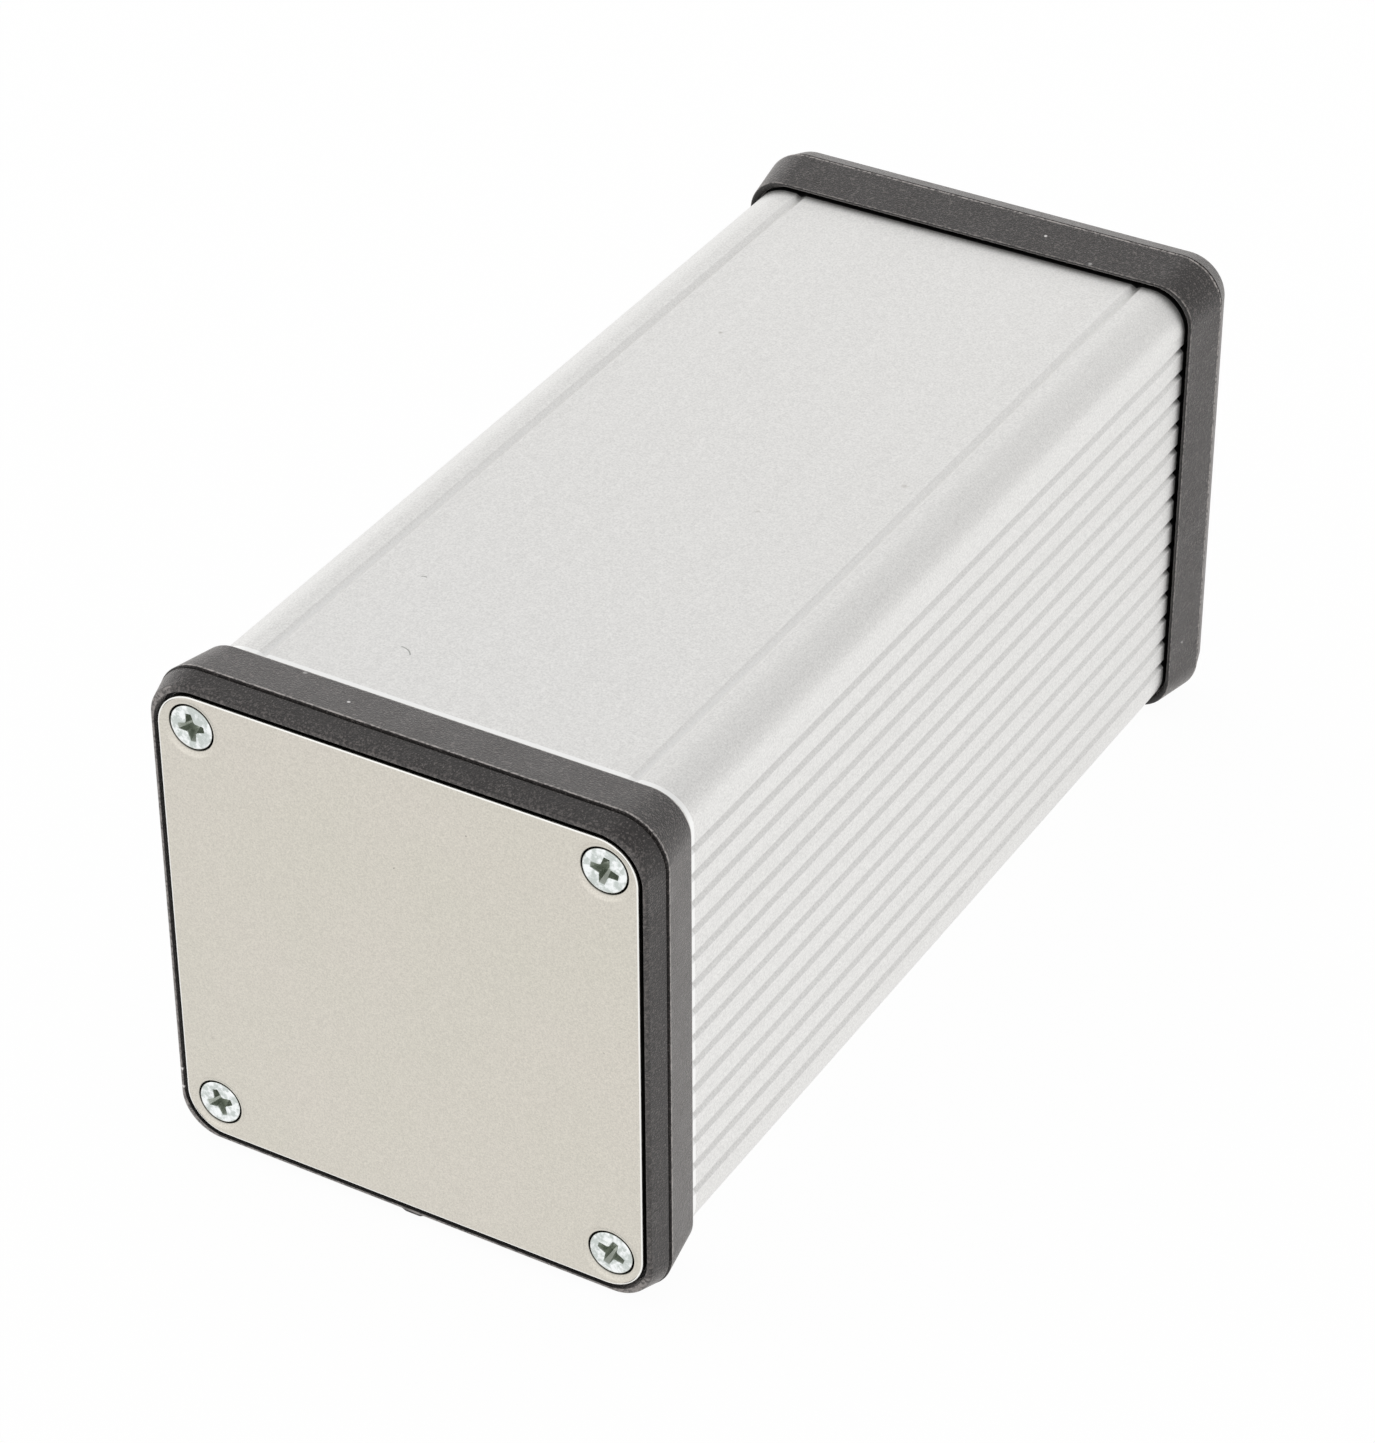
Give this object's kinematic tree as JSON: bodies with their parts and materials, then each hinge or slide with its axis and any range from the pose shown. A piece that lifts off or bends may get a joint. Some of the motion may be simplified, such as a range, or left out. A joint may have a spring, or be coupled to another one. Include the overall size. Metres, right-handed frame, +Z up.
{
  "type": "extruded aluminium enclosure",
  "caption": "Square extruded aluminium case for electronics, with grooved sides, black moulded end bezels and flat end panels held by countersunk screws.",
  "frame": {"origin": "under the middle of the case, in the plane that the lower edges of the two bezels stand on", "axes": "+X to the right as the front panel is faced, +Y from the front panel to the rear panel, +Z up"},
  "size_m": [0.0828, 0.1816, 0.0828],
  "materials": {
    "anodised_extrusion": "satin natural anodised",
    "panel_sheet": "fine satin sheet",
    "bezel_plastic": "black, fine moulded grain",
    "zinc_screw": "bright zinc plate"
  },
  "bodies": {
    "root": {"extruded_body": "anodised_extrusion", "front_bezel": "bezel_plastic", "front_panel": "panel_sheet", "front_screws": "zinc_screw", "rear_bezel": "bezel_plastic", "rear_panel": "panel_sheet", "rear_screws": "zinc_screw"}
  },
  "joints": []
}
